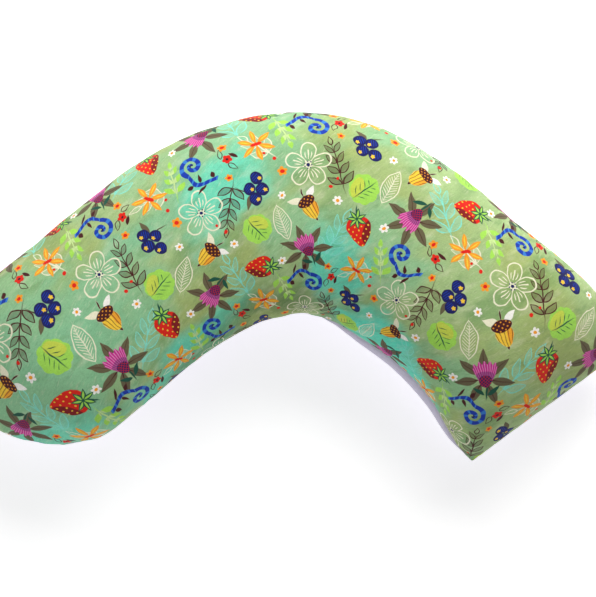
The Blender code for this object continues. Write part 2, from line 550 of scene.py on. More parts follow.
def fill_with_cloth(cover, shape):
    """Puffs the cover up with a short cloth simulation that leaves its seam and its flat back in place."""
    mesh = cover.data
    distance, _ = seam_places(cover)
    start = np.array([vertex.co[:] for vertex in mesh.vertices])
    held = cover.vertex_groups.new(name="held")
    slack = cover.vertex_groups.new(name="slack")
    for index, (away, point) in enumerate(zip(distance, start)):
        if away < MERGE_DISTANCE or point[2] < MERGE_DISTANCE:
            held.add([index], 1.0, "REPLACE")
        slack.add([index], 1 - smooth(away / SLACK_REACH), "REPLACE")
    cloth = cover.modifiers.new("filling", "CLOTH")
    settings = cloth.settings
    settings.quality = 6
    settings.mass = 0.25
    settings.tension_stiffness = 20
    settings.compression_stiffness = 8
    settings.shear_stiffness = 6
    settings.bending_stiffness = 0.12
    settings.use_pressure = True
    settings.uniform_pressure_force = shape.pressure
    settings.effector_weights.gravity = 0
    settings.vertex_group_mass = held.name
    settings.vertex_group_shrink = slack.name
    settings.shrink_min = -shape.give
    settings.shrink_max = -shape.give - shape.slack
    cloth.collision_settings.use_collision = False
    cloth.point_cache.frame_start = 1
    cloth.point_cache.frame_end = FILL_FRAMES
    scene = bpy.context.scene
    for number in range(1, FILL_FRAMES + 1):
        scene.frame_set(number)
    solved = cover.evaluated_get(bpy.context.evaluated_depsgraph_get()).to_mesh()
    puffed = np.array([vertex.co[:] for vertex in solved.vertices])
    cover.evaluated_get(bpy.context.evaluated_depsgraph_get()).to_mesh_clear()
    cover.modifiers.remove(cloth)
    scene.frame_set(1)
    move = puffed - start
    normals = np.array([vertex.normal[:] for vertex in mesh.vertices])
    inward = np.minimum(0.0, (move * normals).sum(axis=1, keepdims=True))
    move -= normals * inward * (1 - SINK_SHARE)
    back = sorted({corner for face in mesh.polygons if face.material_index for corner in face.vertices})
    move[back] *= BACK_SHARE
    length = np.linalg.norm(move, axis=1, keepdims=True)
    allowed = shape.most_move * np.tanh(length / shape.most_move)
    final = start + move * allowed / np.maximum(length, MERGE_DISTANCE)
    final[:, 2] = np.maximum(final[:, 2], 0.0)
    mesh.vertices.foreach_set("co", final.ravel())
    mesh.update()
    for group in (held, slack):
        cover.vertex_groups.remove(group)


def gather_seam(cover, shape):
    """Sinks small gathers beside the seam, where its thread draws the panels in, and marks its nearness for the
    painted shade there.
    """
    away, along = seam_places(cover)
    swing = GATHER_SWING * np.sin(along / GATHER_DRIFT)
    wave = 0.5 - 0.5 * np.cos(2 * math.pi * along / shape.pucker_pitch + swing)
    fade = away / GATHER_REACH * np.exp(1 - away / GATHER_REACH)
    mask = cover.data.attributes.new(SEAM_MASK, "FLOAT", "POINT")
    mask.data.foreach_set("value", np.exp(-away / SEAM_SHADE_REACH))
    normals = np.array([vertex.normal[:] for vertex in cover.data.vertices])
    points = np.array([vertex.co[:] for vertex in cover.data.vertices])
    points -= normals * (shape.pucker_depth * wave * fade)[:, None]
    points[:, 2] = np.maximum(points[:, 2], 0.0)
    cover.data.vertices.foreach_set("co", points.ravel())
    cover.data.update()


def build_cover(shape):
    """The whole cover as one closed mesh."""
    cover = sew(shape)
    spread_flat(cover)
    fill_with_cloth(cover, shape)
    gather_seam(cover, shape)
    fine = cover.modifiers.new("fine_cloth", "SUBSURF")
    fine.levels = 1
    fine.render_levels = 1
    return cover


def feed(tree, slot, value):
    """Puts a number, a colour or another node's output into an input."""
    if isinstance(value, Field):
        tree.links.new(value.socket, slot)
    elif isinstance(value, bpy.types.NodeSocket):
        tree.links.new(value, slot)
    else:
        slot.default_value = value


def colour_value(colour):
    """A colour with its alpha, as a socket takes it."""
    return (*colour, 1.0)


class Field:
    """A number that changes over the cloth: one output of a shader node, with plain arithmetic."""

    def __init__(self, tree, socket):
        self.tree = tree
        self.socket = socket

    def join(self, operation, *others):
        """A Math node with this field and the others as its inputs."""
        node = self.tree.nodes.new("ShaderNodeMath")
        node.operation = operation
        for slot, value in zip(node.inputs, (self, *others)):
            feed(self.tree, slot, value)
        return Field(self.tree, node.outputs[0])

    def __add__(self, other):
        return self.join("ADD", other)

    def __sub__(self, other):
        return self.join("SUBTRACT", other)

    def __mul__(self, other):
        return self.join("MULTIPLY", other)

    def __truediv__(self, other):
        return self.join("DIVIDE", other)

    def scaled(self, factor, more=0.0, clamp=False):
        """This field times a factor, and some more. With clamp it is then kept between 0 and 1."""
        product = self.join("MULTIPLY_ADD", factor, more)
        if not clamp:
            return product
        node = self.tree.nodes.new("ShaderNodeClamp")
        feed(self.tree, node.inputs["Value"], product)
        return Field(self.tree, node.outputs[0])

    def most(self, other):
        """The larger of two fields at each point."""
        return self.join("MAXIMUM", other)

    def size(self):
        """The field without its sign."""
        return self.join("ABSOLUTE")


def new_group(name, inputs, outputs):
    """An empty shader group with its named sockets, and its two end nodes."""
    tree = bpy.data.node_groups.new(name, "ShaderNodeTree")
    for label, kind in inputs:
        tree.interface.new_socket(label, in_out="INPUT", socket_type=kind)
    for label, kind in outputs:
        tree.interface.new_socket(label, in_out="OUTPUT", socket_type=kind)
    return tree, tree.nodes.new("NodeGroupInput")


def blend_colours(tree, mask, under, over):
    """The colour over the colour under, as far as the mask covers it."""
    node = tree.nodes.new("ShaderNodeMix")
    node.data_type = "RGBA"
    feed(tree, node.inputs["Factor"], mask)
    feed(tree, node.inputs[6], under)
    feed(tree, node.inputs[7], over)
    return node.outputs[2]


def product(tree, place, row):
    """A place's three numbers times a row's, added up. The third number of a place is always 1."""
    node = tree.nodes.new("ShaderNodeVectorMath")
    node.operation = "DOT_PRODUCT"
    feed(tree, node.inputs[0], place)
    node.inputs[1].default_value = row
    return Field(tree, node.outputs["Value"])


def seen_from(tree, place, x, y, turn=0, long=1.0, wide=1.0):
    """How far a place lies along and across from a point, on axes turned and sized as given."""
    cos = math.cos(math.radians(turn))
    sin = math.sin(math.radians(turn))
    along = product(tree, place, (cos / long, sin / long, -(x * cos + y * sin) / long))
    across = product(tree, place, (-sin / wide, cos / wide, (x * sin - y * cos) / wide))
    return along, across


def unite(tree, x, y):
    """A place from its two numbers, with the 1 that makes moving it a plain product."""
    node = tree.nodes.new("ShaderNodeCombineXYZ")
    feed(tree, node.inputs[0], x)
    feed(tree, node.inputs[1], y)
    node.inputs[2].default_value = 1
    return node.outputs[0]


def distance(x, y):
    """How far two numbers lie from nothing, taken as a place."""
    square = y * y
    return x.join("MULTIPLY_ADD", x, square).join("SQRT")


EDGE = 0.55              # softness of a painted edge, in millimetres


class Pen:
    """Paints one motif as a shader group, layer on layer, in millimetres from the motif's middle.

    The nodes of a group are made in the order in which they are worked out, because the renderer
    has room for few numbers at a time. A shape's x and y are its middle, long and wide are half its
    length along its own X and half its width, and turn turns it, in degrees.
    """

    def __init__(self, name):
        outputs = (("Colour", "NodeSocketColor"), ("Mask", "NodeSocketFloat"))
        self.tree, source = new_group(name, (("Place", "NodeSocketVector"),), outputs)
        self.place = source.outputs["Place"]
        self.colour = None
        self.mask = None

    def inside(self, reach, wide, line=None):
        """The mask of where a shape's reach is under 1, or of a line drawn along its edge."""
        if line is None:
            return reach.scaled(-wide / EDGE, 0.5 + wide / EDGE, clamp=True)
        return (reach - 1.0).size().scaled(-wide / EDGE, 0.5 + line / 2 / EDGE, clamp=True)

    def oval(self, place, x, y, long, wide, turn=0, line=None):
        """An oval, filled or drawn as a line."""
        along, across = seen_from(self.tree, place, x, y, turn, long, wide)
        return self.inside(distance(along, across), min(long, wide), line)

    def egg(self, place, x, y, long, wide, turn=0, line=None, taper=0.2):
        """An oval that is wider at its far end, by the taper."""
        along, across = seen_from(self.tree, place, x, y, turn, long, wide)
        across = across / along.scaled(taper, 1.0)
        return self.inside(distance(along, across), min(long, wide), line)

    def leaf(self, place, x, y, long, wide, turn=0, line=None, taper=-0.3):
        """A pointed leaf, filled or drawn as a line. It is widest towards its near end."""
        along, across = seen_from(self.tree, place, x, y, turn, long, wide)
        across = across.size() / along.scaled(taper, 1.0).most(0.1)
        reach = along.join("MULTIPLY_ADD", along, across)
        return self.inside(reach, wide, line)

    def lobes(self, place, x, y, radius, count, depth, turn=0, line=None):
        """A round shape with a number of lobes, each rising from its clefts by the depth's share."""
        across, up = seen_from(self.tree, place, x, y, turn, radius, radius)
        angle = up.join("ARCTAN2", across)
        lobe = angle.scaled(count / 2).join("COSINE").size()
        reach = distance(across, up) / lobe.scaled(depth, 1.0 - depth)
        return self.inside(reach, radius, line)

    def dots(self, place, pitch_x, pitch_y, cover=0.6):
        """Dots in offset rows, the larger the less the cover."""
        x, y = seen_from(self.tree, place, 0, 0, 0, pitch_x / math.pi, pitch_y / math.pi)
        waves = x.join("COSINE") * y.join("COSINE")
        return waves.scaled(5.0, -5.0 * cover, clamp=True)

    def lines(self, field, pitch, share=0.5):
        """Lines where a field, in millimetres, passes each multiple of a pitch. They cover a share."""
        wave = field.scaled(2 * math.pi / pitch).join("COSINE")
        return wave.scaled(pitch / 2, 0.5 - pitch / 2 * math.cos(math.pi * share), clamp=True)

    def upto(self, field, end):
        """The mask of where a field is under its end."""
        return field.scaled(-1 / EDGE, 0.5 + end / EDGE, clamp=True)

    def row(self, x, y, pitch):
        """A place whose X starts again at each pitch."""
        return unite(self.tree, x.join("WRAP", pitch / 2, -pitch / 2), y)

    def ring(self, place, count, turn=0, x=0, y=0):
        """A place folded round a point, so that one shape along X becomes a number of them."""
        across, up = seen_from(self.tree, place, x, y, turn)
        half = math.pi / count
        angle = up.join("ARCTAN2", across).join("WRAP", half, -half)
        reach = distance(across, up)
        along = reach * angle.join("COSINE")
        aside = reach * angle.join("SINE")
        return unite(self.tree, along, aside)

    def lay(self, mask, colour):
        """Paints a colour where the mask is, over what is there."""
        colour = colour_value(colour)
        if self.mask is None:
            self.colour = colour
            self.mask = mask
            return
        self.colour = blend_colours(self.tree, mask, self.colour, colour)
        self.mask = self.mask.most(mask)

    def tint(self, mask, colour):
        """Paints a colour only where the motif already is."""
        self.colour = blend_colours(self.tree, mask, self.colour, colour_value(colour))

    def done(self):
        """The finished group."""
        target = self.tree.nodes.new("NodeGroupOutput")
        feed(self.tree, target.inputs["Colour"], self.colour)
        feed(self.tree, target.inputs["Mask"], self.mask)
        return self.tree


def strawberry(pen, inks):
    """A pointed red berry with pale seeds, a dark side and a green calyx."""
    at = pen.place
    pen.lay(pen.oval(at, 2, 21, 6.0, 0.9, turn=70), inks.pine)
    body = pen.egg(at, 0, -1, 17, 12.5, turn=90, taper=0.42)
    pen.lay(body, inks.red)
    pen.tint(pen.oval(at, 9, -4, 14, 6, turn=66) * body * 0.75, inks.maroon)
    pen.tint(pen.dots(at, 3.6, 4.2, 0.66) * body, inks.yellow)
    star = pen.ring(at, 7, turn=12, y=13)
    pen.lay(pen.leaf(star, 5.4, 0, 6.6, 2.4), inks.pine)
    pen.tint(pen.leaf(star, 5.8, 0, 4.4, 1.0), inks.lime)


def blueberries(pen, inks):
    """A slanting bunch of navy berries with drawn blue strokes and orange ends, under a leaf."""
    at = pen.place
    pen.lay(pen.leaf(at, -12, 13, 8, 2.8, turn=150), inks.bark)
    pen.lay(pen.oval(at, 2, 14, 8, 0.6, turn=40), inks.brown)
    slope = product(pen.tree, at, (1.0, 0.55, 0))
    strokes = pen.lines(slope, 2.4, 0.34)
    for x, y in ((-11, 5), (1, 7), (-4, -5), (9, -4)):
        berry = pen.oval(at, x, y, 6.9, 6.5)
        pen.lay(berry, inks.navy)
        pen.tint(strokes * pen.oval(at, x + 0.8, y + 1, 4.6, 4.0), inks.blue)
        pen.tint(pen.lobes(at, x - 1.5, y - 2.5, 2.2, 5, 0.4), inks.yellow)


def thistle(pen, inks):
    """A magenta thistle: a tuft of pale lined bristles out of a netted navy cup, on a leafy stem."""
    at = pen.place
    pen.lay(pen.oval(at, 1, -17, 9, 0.9, turn=84), inks.pine)
    pen.lay(pen.leaf(at, 8, -16, 8, 2.4, turn=38), inks.pine)
    pen.lay(pen.leaf(at, -7, -17, 7, 2.2, turn=146), inks.pine)
    x, y = seen_from(pen.tree, at, 0, -6, turn=90)
    fan = y / x.scaled(0.035, 0.5).most(0.2)
    bristle = fan.scaled(2 * math.pi / 4.6).join("COSINE").scaled(1.8, 20.5)
    head = (bristle - distance(x, y)).scaled(1 / EDGE, 0.5, clamp=True)
    head = head * pen.upto(fan.size(), 12.6)
    head = head * x.scaled(1 / EDGE, 0.5, clamp=True)
    pen.lay(head, inks.magenta)
    pen.tint(pen.lines(fan, 2.3, 0.30) * head * 0.75, inks.pink)
    pen.tint(pen.oval(at, 0, 0, 9, 5) * head * 0.45, inks.navy)
    cup = pen.egg(at, 0, -6, 6.6, 6.4, turn=270, taper=-0.2)
    pen.lay(cup, inks.navy)
    net = pen.lines(x + y, 3.4, 0.22).most(pen.lines(x - y, 3.4, 0.22))
    pen.tint(net * cup * 0.8, inks.red)


def broad_leaves(pen, inks):
    """A fan of broad bark brown leaves, each with a thin rib."""
    around = pen.ring(pen.place, 7, turn=10)
    pen.lay(pen.leaf(around, 20, 0, 13.5, 4.8), inks.bark)
    pen.tint(pen.oval(around, 19, 0, 12, 0.45) * 0.7, inks.brown)
    pen.lay(pen.oval(around, 8, 0, 6, 0.6), inks.brown)


def acorn(pen, inks):
    """A pointed yellow acorn with thin strokes under a dotted brown cap, and two pale leaves."""
    at = pen.place
    pen.lay(pen.leaf(at, -9, 13, 8.5, 3.6, turn=150), inks.cream)
    pen.lay(pen.leaf(at, 10, 13, 7.0, 3.2, turn=28), inks.white)
    pen.lay(pen.oval(at, 1.5, 16, 5.0, 0.9, turn=75), inks.brown)
    pen.lay(pen.leaf(at, 0, -13.5, 4.0, 1.3, turn=90), inks.brown)
    body = pen.egg(at, 0, -3.5, 10.5, 8.4, turn=90, taper=0.26)
    pen.lay(body, inks.yellow)
    x, y = seen_from(pen.tree, at, 0, 0)
    pen.tint(pen.oval(at, 5.5, -3, 9, 3.2, turn=80) * body * 0.8, inks.orange)
    pen.tint(pen.lines(x / y.scaled(0.03, 1.1).most(0.3), 3.6, 0.26) * body * 0.7, inks.brown)
    cap = pen.oval(at, 0, 6.5, 10.2, 5.6)
    pen.lay(cap, inks.brown)
    pen.tint(pen.dots(at, 2.6, 2.4, 0.5) * cap * 0.85, inks.orange)


def tendril(pen, inks):
    """A thick blue fern shoot rolled up at its top, with light bands and small dark leaves."""
    pitch = 9.0
    x, y = seen_from(pen.tree, pen.place, 3, 8)
    down = y * -1.0
    angle = y.join("ARCTAN2", x)
    wound = distance(x, y) - angle * (pitch / 2 / math.pi)
    rolled = pen.upto(wound.join("WRAP", pitch / 2, -pitch / 2).size(), 2.7)
    rolled = rolled * pen.upto(wound, pitch * 1.5)
    sway = y.scaled(0.13).join("SINE")
    off = x + sway.scaled(-7.0, pitch * 1.5)
    stem = pen.upto(off.size(), 2.6) * pen.upto(y, 0) * pen.upto(down, 33)
    few = pen.upto(y, -3) * pen.upto(down, 29)
    right = pen.leaf(pen.row(y, off, 13.0), 0, 7.4, 5.6, 1.9, turn=62)
    left = pen.leaf(pen.row(y - 6.5, off * -1.0, 13.0), 0, 7.4, 5.6, 1.9, turn=62)
    pen.lay(right.most(left) * few, inks.brown)
    shoot = rolled.most(stem)
    pen.lay(shoot, inks.blue)
    bands = pen.lines(angle * 4.6, 5.2, 0.34) * rolled
    bands = bands.most(pen.lines(y, 6.4, 0.3) * stem)
    pen.tint(bands * 0.75, inks.sky)
    pen.tint(pen.oval(pen.place, 3, 8, 2.4, 2.4), inks.navy)


def blossom(pen, inks):
    """A large blossom drawn in cream lines, with fine strokes in each petal."""
    at = pen.place
    petal = pen.ring(at, 5, turn=20)
    drawn = pen.egg(petal, 15.5, 0, 12.5, 8.6, line=1.25)
    x, y = seen_from(pen.tree, petal, 0, 0)
    rays = pen.lines(y / x.scaled(0.05, 0.3), 4.0, 0.32) * pen.oval(petal, 13, 0, 6.0, 4.6)
    pen.lay(drawn.most(rays), inks.cream)
    eye = pen.ring(at, 7)
    pen.lay(pen.oval(at, 0, 0, 2.2, 2.2), inks.navy)
    pen.lay(pen.oval(eye, 4.4, 0, 0.9, 0.9), inks.navy)


def lily(pen, inks):
    """A six petalled orange flower with a red middle."""
    at = pen.place
    petal = pen.ring(at, 6, turn=8)
    blade = pen.leaf(petal, 10.5, 0, 9.8, 2.9, taper=0.25)
    pen.lay(blade, inks.orange)
    pen.tint(pen.oval(petal, 12, 0, 5.5, 0.8) * blade, inks.yellow)
    pen.lay(pen.oval(at, 0, 0, 6.0, 2.0, turn=-24), inks.red)


def spray(pen, leaf_ink, stem_ink, leaf, pitch, pairs, angle, line=None, fill=0.0, shrink=0.35):
    """A stem with leaves in pairs, smaller towards its tip. leaf is half a leaf's length and width."""
    reach = pitch * pairs / 2
    x, y = seen_from(pen.tree, pen.place, 0, 0)
    y = y.size() * x.scaled(shrink / reach, 1.0)
    leant = x + y * -0.12 + (0.5 * pitch if pairs % 2 == 0 else 0.0)
    start = leant.join("WRAP", pitch / 2, -pitch / 2)
    cell = unite(pen.tree, start, y)
    first = 0.5 * pitch if pairs % 2 == 0 else 0.0
    within = (leant - start - first).size().scaled(-1.0, reach, clamp=True)
    long, wide = leaf
    rise = long * math.sin(math.radians(angle)) + 0.6
    if fill:
        solid = pen.leaf(cell, 0, rise, long, wide, turn=angle)
        pen.lay(solid * within * fill, leaf_ink)
    pen.lay(pen.leaf(cell, 0, rise, long, wide, turn=angle, line=line) * within, leaf_ink)
    pen.lay(pen.oval(pen.place, -4, 0, reach + 3, 0.75), stem_ink)
    pen.lay(pen.leaf(pen.place, reach + long * 0.55, 0, long * 0.8, wide * 0.8, line=line), leaf_ink)


def bark_spray(pen, inks):
    """A dark spray with drawn leaves."""
    spray(pen, inks.brown, inks.brown, (7.6, 3.1), 12.5, 4, 50, line=1.25, fill=0.4)


def lime_sprig(pen, inks):
    """A sprig of full lime green leaves with a pale gleam down its stem."""
    spray(pen, inks.lime, inks.lime, (6.6, 3.1), 11.5, 3, 48)
    pen.tint(pen.oval(pen.place, 0, 0, 18, 3.6) * 0.4, inks.cream)


def pale_frond(pen, inks):
    """A frond with drawn turquoise leaves, partly filled."""
    spray(pen, inks.frond, inks.frond, (10.8, 3.7), 15.5, 3, 40, line=1.15, fill=0.28)


def cream_frond(pen, inks):
    """A smaller frond in pale cream, for behind the lilies."""
    spray(pen, inks.cream, inks.cream, (8.8, 3.1), 13.5, 2, 42, line=0.95, fill=0.22)


def drawn_leaf(pen, inks):
    """A large leaf drawn in cream, with a rib and side strokes."""
    at = pen.place
    x, y = seen_from(pen.tree, at, 0, 0)
    inner = pen.leaf(at, 0, 0, 19, 7.6, taper=-0.1)
    strokes = pen.lines(x + y.size() * -0.9, 3.6, 0.3) * inner
    rib = pen.oval(at, 0, 0, 20, 0.6)
    edge = pen.leaf(at, 0, 0, 22, 10, line=1.3, taper=-0.1)
    pen.lay(strokes.most(rib) * 0.9, inks.cream)
    pen.lay(edge, inks.cream)


def round_leaf(pen, inks):
    """A round scalloped lime leaf with dark veins."""
    at = pen.place
    body = pen.lobes(at, 0, 0, 18, 9, 0.09)
    pen.lay(body, inks.lime)
    pen.tint(pen.oval(at, -5, 6, 12, 7, turn=30) * 0.35, inks.yellow)
    pen.tint(pen.oval(at, 0, -1, 14, 0.75), inks.pine)
    x, y = seen_from(pen.tree, at, 0, -1)
    y = y.size()
    cell = pen.row(x + y * -0.75, y, 6.0)
    side = pen.oval(cell, 0, 5.5, 0.55, 3.2) * pen.oval(at, 1, -1, 12, 11)
    pen.tint(side, inks.pine)


def red_flower(pen, inks):
    """A small red flower between two drawn leaves."""
    at = pen.place
    pen.lay(pen.leaf(at, -11.5, 1, 6.4, 2.9, turn=200, line=1.1), inks.brown)
    pen.lay(pen.leaf(at, 11.0, 2, 6.2, 2.8, turn=-28, line=1.1), inks.brown)
    pen.lay(pen.leaf(at, -1, -8.5, 6.5, 2.2, turn=20), inks.brown)
    pen.lay(pen.lobes(at, 0, 0, 6.0, 5, 0.3), inks.red)
    pen.tint(pen.oval(at, 0, 0, 1.5, 1.5), inks.maroon)


def daisy(pen, inks):
    """A small white daisy with a yellow middle."""
    at = pen.place
    pen.lay(pen.lobes(at, 0, 0, 5.6, 6, 0.42), inks.white)
    pen.tint(pen.oval(at, 0, 0, 2.0, 1.9), inks.orange)


def star(pen, inks):
    """A small orange flower with a red middle."""
    at = pen.place
    pen.lay(pen.lobes(at, 0, 0, 6.0, 5, 0.36), inks.orange)
    pen.tint(pen.oval(at, 0, 0, 2.6, 2.4), inks.red)


def red_dot(pen, inks):
    """A red berry, small as a pea, and a smaller one."""
    at = pen.place
    pen.lay(pen.oval(at, 0, 0, 2.1, 1.9), inks.red)
    pen.lay(pen.oval(at, 7, 9, 1.6, 1.5), inks.red)


WOBBLE = 2.4             # how far a drawn line strays, in millimetres, all in all
WOBBLE_PITCH = 11.0      # length of a stray, in millimetres
SEAM_SHADE = 0.22        # how much painted shade darkens the cloth at the seam, where its groove lies

# The print's repeat, in millimetres: each tile to the right sits higher by the drop.
REPEAT_X = 222.0
REPEAT_Y = 180.0
REPEAT_DROP = 90.0

# What lies where in a tile, from the undermost motif to the uppermost, in millimetres and degrees.
# A motif comes across times in a tile's width and up times in its height. It is turned by turn, and
# by swing more in every other column.
LAYOUT_COLUMNS = ("motif", "x", "y", "across", "up", "turn", "swing", "scale")
LAYOUT = (
    (pale_frond, 58, 38, 2, 1, 66, 48, 0.95),
    (cream_frond, 88, 180, 2, 1, 205, -60, 1.0),
    (broad_leaves, 27, 22, 2, 1, 0, 40, 0.92),
    (lime_sprig, 1, 153, 2, 1, -66, 166, 0.95),
    (round_leaf, 84, 92, 2, 1, 40, -90, 0.9),
    (drawn_leaf, 111, 98, 2, 1, 68, 40, 0.88),
    (bark_spray, 56, 116, 2, 1, 108, 150, 0.9),
    (blossom, 27, 114, 2, 1, 0, 75, 0.84),
    (lily, 86, 2, 2, 1, 0, 40, 0.95),
    (red_flower, 57, 168, 2, 1, 60, 70, 0.86),
    (tendril, 27, 160, 2, 1, -80, 150, 0.90),
    (acorn, 29, 70, 2, 1, 35, -85, 1.0),
    (blueberries, 85, 136, 2, 1, -20, 130, 1.0),
    (thistle, 27, 25, 2, 1, 25, 115, 0.96),
    (strawberry, 84, 48, 2, 1, 20, -110, 0.98),
    (daisy, 58, 78, 2, 1, 0, 30, 0.9),
    (daisy, 110, 54, 2, 1, 20, 30, 0.9),
    (daisy, 111, 127, 2, 1, 40, 20, 0.8),
    (star, 112, 152, 2, 1, 0, 30, 0.85),
    (star, 58, 148, 2, 1, 10, 30, 0.7),
    (star, 52, 2, 2, 1, 5, 30, 0.8),
    (red_dot, 50, 92, 2, 1, 0, 90, 1.0),
    (red_dot, 104, 166, 2, 1, 40, 60, 1.0),
)


def spot(tree, u, v, row):
    """Where the cloth is, counted from the nearest of a motif's places in the repeat."""
    at = row_values(row, LAYOUT_COLUMNS)
    pitch_x = REPEAT_X / at["across"]
    pitch_y = REPEAT_Y / at["up"]
    from_x = u - at["x"]
    column = from_x.scaled(1 / pitch_x, 0.5).join("FLOOR")
    x = column.scaled(-pitch_x / at["scale"], from_x / at["scale"])
    from_y = column.scaled(-REPEAT_DROP / at["across"], v - at["y"])
    y = from_y.join("WRAP", pitch_y / 2, -pitch_y / 2) / at["scale"]
    swing = math.radians(at["swing"])
    turn = column.join("FLOORED_MODULO", 2.0).scaled(swing, math.radians(at["turn"]))
    cos = turn.join("COSINE")
    sin = turn.join("SINE")
    along = x.join("MULTIPLY_ADD", cos, y * sin)
    across = y * cos - x * sin
    return unite(tree, along, across)


def drawn(motif, inks):
    """A motif painted as a shader group, named for its function."""
    pen = Pen(motif.__name__)
    motif(pen, inks)
    return pen.done()


def cloud(tree, place, long, wide, turn=0, seed=0, detail=2.0):
    """Soft noise about 0.5, drawn out along a direction, with blots about as long and wide as given."""
    node = tree.nodes.new("ShaderNodeMapping")
    node.vector_type = "TEXTURE"
    feed(tree, node.inputs["Vector"], place)
    node.inputs["Location"].default_value = (seed * 113.0, seed * -71.0, 0)
    node.inputs["Rotation"].default_value = (0, 0, math.radians(turn))
    node.inputs["Scale"].default_value = (long, wide, 1)
    noise = tree.nodes.new("ShaderNodeTexNoise")
    noise.noise_dimensions = "2D"
    noise.inputs["Scale"].default_value = 1.0
    noise.inputs["Detail"].default_value = detail
    tree.links.new(node.outputs[0], noise.inputs["Vector"])
    return Field(tree, noise.outputs[0])


def ramp(tree, field, low, high, most=1.0):
    """A field turned into a mask that rises softly from 0 at low to most at high."""
    node = tree.nodes.new("ShaderNodeMapRange")
    node.interpolation_type = "SMOOTHSTEP"
    node.clamp = False
    feed(tree, node.inputs["Value"], field)
    node.inputs["From Min"].default_value = low
    node.inputs["From Max"].default_value = high
    node.inputs["To Max"].default_value = most
    return Field(tree, node.outputs[0])


# The ground's washes and the brush strokes over them, from the undermost: an ink, its blots' length and width in millimetres and
# their turn in degrees, a number that picks the noise, and the noise at which the wash starts and
# is full, with how much of it covers then.
WASH_COLUMNS = ("ink", "long", "wide", "turn", "seed", "low", "high", "most")
WASHES = (
    ("olive", 230, 120, -25, 8, 0.48, 0.66, 0.75),
    ("mint", 150, 70, 35, 3, 0.50, 0.66, 0.60),
    ("moss", 120, 70, 60, 14, 0.55, 0.72, 0.50),
)
STROKES = (
    ("cream", 36, 14, 40, 5, 0.54, 0.80, 0.22),
    ("moss", 30, 12, 28, 9, 0.54, 0.80, 0.36),
    ("cream", 10, 2.0, 52, 12, 0.56, 0.80, 0.18),
    ("pine", 9, 1.8, 44, 17, 0.56, 0.80, 0.16),
)

# Cool patches of the ground, and dark patches that are painted shade along the left arm's inner and lower edges and
# in the bend: an ink, the patch's middle from the panel's middle, its half length and half width in millimetres, its
# turn in degrees, and how much of it covers.
PATCH_COLUMNS = ("ink", "x", "y", "long", "wide", "turn", "most")
COOL_PATCHES_AND_PAINTED_SHADE = (
    ("mint", -240, -46, 150, 68, 40, 0.80),
    ("mint", -60, 120, 140, 60, 35, 0.70),
    ("turquoise", -64, 84, 60, 34, 60, 0.70),
    ("turquoise", 62, -6, 64, 40, -70, 0.85),
    ("turquoise", 128, -96, 92, 44, -38, 0.95),
    ("turquoise", 190, -160, 70, 34, -62, 0.85),
    ("turquoise", -130, -104, 110, 36, 42, 0.80),
    ("turquoise", -300, -150, 130, 40, 14, 0.65),
    # painted shade: these two moss patches darken the left arm's inner and lower edges
    ("moss", -128, -132, 130, 32, 42, 0.70),
    ("moss", -290, -196, 110, 30, 8, 0.45),
    # painted shade: the pine patch darkens the bend
    ("pine", 8, -52, 70, 26, 0, 0.30),
)
PATCH_FRAY = 1.3         # how much the noise frays a patch's border


def washed(tree, inks, place, colour, rows):
    """A colour with a table's washes over it."""
    for row in rows:
        wash = row_values(row, WASH_COLUMNS)
        noise = cloud(tree, place, wash["long"], wash["wide"], wash["turn"], wash["seed"])
        mask = ramp(tree, noise, wash["low"], wash["high"], wash["most"])
        colour = blend_colours(tree, mask, colour, colour_value(getattr(inks, wash["ink"])))
    return colour


def painted_ground(inks):
    """The print's ground, as a shader group: washes of green, cool patches, painted shade along the left arm's edges
    and in the bend, and fine brush strokes.
    """
    inputs = (("Place", "NodeSocketVector"),)
    tree, source = new_group("painted_ground", inputs, (("Colour", "NodeSocketColor"),))
    place = source.outputs["Place"]
    colour = washed(tree, inks, place, colour_value(inks.sage), WASHES)
    fray = cloud(tree, place, 60, 34, turn=30, seed=4).scaled(PATCH_FRAY, 1.0 - PATCH_FRAY / 2)
    # the moss and pine patches among these are painted shade
    for row in COOL_PATCHES_AND_PAINTED_SHADE:
        patch = row_values(row, PATCH_COLUMNS)
        along, across = seen_from(
            tree, place, patch["x"], patch["y"], patch["turn"], patch["long"], patch["wide"]
        )
        mask = ramp(tree, fray - distance(along, across), -0.2, 0.5, patch["most"])
        colour = blend_colours(tree, mask, colour, colour_value(getattr(inks, patch["ink"])))
    colour = washed(tree, inks, place, colour, STROKES)
    target = tree.nodes.new("NodeGroupOutput")
    feed(tree, target.inputs["Colour"], colour)
    return tree


def brushed_pile():
    """Short brushed pile on a plain weave, as a shader group for the cloth of both panels.

    Place is in millimetres, and so are Thread, the pitch of the weave, and Pile, that of the pile.
    """
    inputs = (("Place", "NodeSocketVector"), ("Thread", "NodeSocketFloat"), ("Pile", "NodeSocketFloat"))
    outputs = (("Height", "NodeSocketFloat"), ("Roughness", "NodeSocketFloat"), ("Tone", "NodeSocketFloat"))
    tree, source = new_group("brushed_pile", inputs, outputs)
    x, y = seen_from(tree, source.outputs["Place"], 0, 0)
    thread = Field(tree, source.outputs["Thread"])
    pile = Field(tree, source.outputs["Pile"])
    over = (x * math.pi / thread).join("SINE")
    weave = over * (y * math.pi / thread).join("SINE")
    nap = cloud(tree, unite(tree, x / pile, y / pile), 1.6, 0.8, turn=35, seed=2, detail=3.0)
    tufts = cloud(tree, unite(tree, x / pile, y / pile), 7.0, 4.0, turn=35, seed=6)
    lift = nap * 0.8 + weave * 0.12
    target = tree.nodes.new("NodeGroupOutput")
    feed(tree, target.inputs["Height"], lift + tufts * 0.5)
    feed(tree, target.inputs["Roughness"], nap.scaled(0.30, 0.72, clamp=True))
    feed(tree, target.inputs["Tone"], nap.scaled(0.32, 0.84) + tufts.scaled(0.20, -0.10))
    return tree


